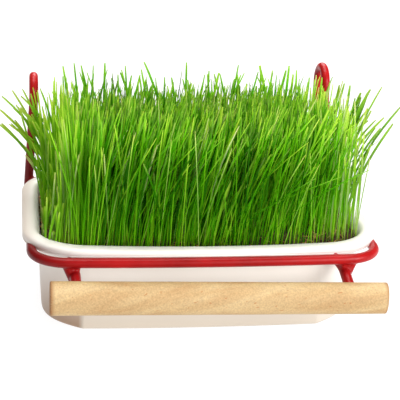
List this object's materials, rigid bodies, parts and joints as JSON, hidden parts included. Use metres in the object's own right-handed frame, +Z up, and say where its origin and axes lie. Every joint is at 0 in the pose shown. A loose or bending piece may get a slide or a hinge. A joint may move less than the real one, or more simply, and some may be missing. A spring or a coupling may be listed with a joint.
{
  "type": "tray of cat grass",
  "caption": "Plastic tray of dense growing grass in soil, its rolled lip held in a coated wire ring with rail hooks at the back and a round wooden perch in front.",
  "frame": {"origin": "centre of the tray's flat base", "axes": "+X along the tray's long side, -Y towards the perch side, +Z up"},
  "size_m": [0.2091, 0.1675, 0.1134],
  "materials": {
    "tray_plastic": "satin",
    "potting_soil": "matte",
    "coated_wire": "satin",
    "perch_wood": "matte",
    "grass_leaf": "satin"
  },
  "bodies": {
    "root": {"tray": "tray_plastic", "soil": "potting_soil", "ring_wire": "coated_wire", "hook_wire_left": "coated_wire", "hook_wire_right": "coated_wire", "perch_arm_left": "coated_wire", "perch_arm_right": "coated_wire", "perch": "perch_wood", "grass_tuft_1_1": "grass_leaf", "grass_tuft_1_2": "grass_leaf", "grass_tuft_1_3": "grass_leaf", "grass_tuft_1_4": "grass_leaf", "grass_tuft_1_5": "grass_leaf", "grass_tuft_1_6": "grass_leaf", "grass_tuft_1_7": "grass_leaf", "grass_tuft_1_8": "grass_leaf", "grass_tuft_2_1": "grass_leaf", "grass_tuft_2_2": "grass_leaf", "grass_tuft_2_3": "grass_leaf", "grass_tuft_2_4": "grass_leaf", "grass_tuft_2_5": "grass_leaf", "grass_tuft_2_6": "grass_leaf", "grass_tuft_2_7": "grass_leaf", "grass_tuft_2_8": "grass_leaf", "grass_tuft_3_1": "grass_leaf", "grass_tuft_3_2": "grass_leaf", "grass_tuft_3_3": "grass_leaf", "grass_tuft_3_4": "grass_leaf", "grass_tuft_3_5": "grass_leaf", "grass_tuft_3_6": "grass_leaf", "grass_tuft_3_7": "grass_leaf", "grass_tuft_3_8": "grass_leaf", "grass_tuft_4_1": "grass_leaf", "grass_tuft_4_2": "grass_leaf", "grass_tuft_4_3": "grass_leaf", "grass_tuft_4_4": "grass_leaf", "grass_tuft_4_5": "grass_leaf", "grass_tuft_4_6": "grass_leaf", "grass_tuft_4_7": "grass_leaf", "grass_tuft_4_8": "grass_leaf", "grass_tuft_5_1": "grass_leaf", "grass_tuft_5_2": "grass_leaf", "grass_tuft_5_3": "grass_leaf", "grass_tuft_5_4": "grass_leaf", "grass_tuft_5_5": "grass_leaf", "grass_tuft_5_6": "grass_leaf", "grass_tuft_5_7": "grass_leaf", "grass_tuft_5_8": "grass_leaf"}
  },
  "joints": []
}
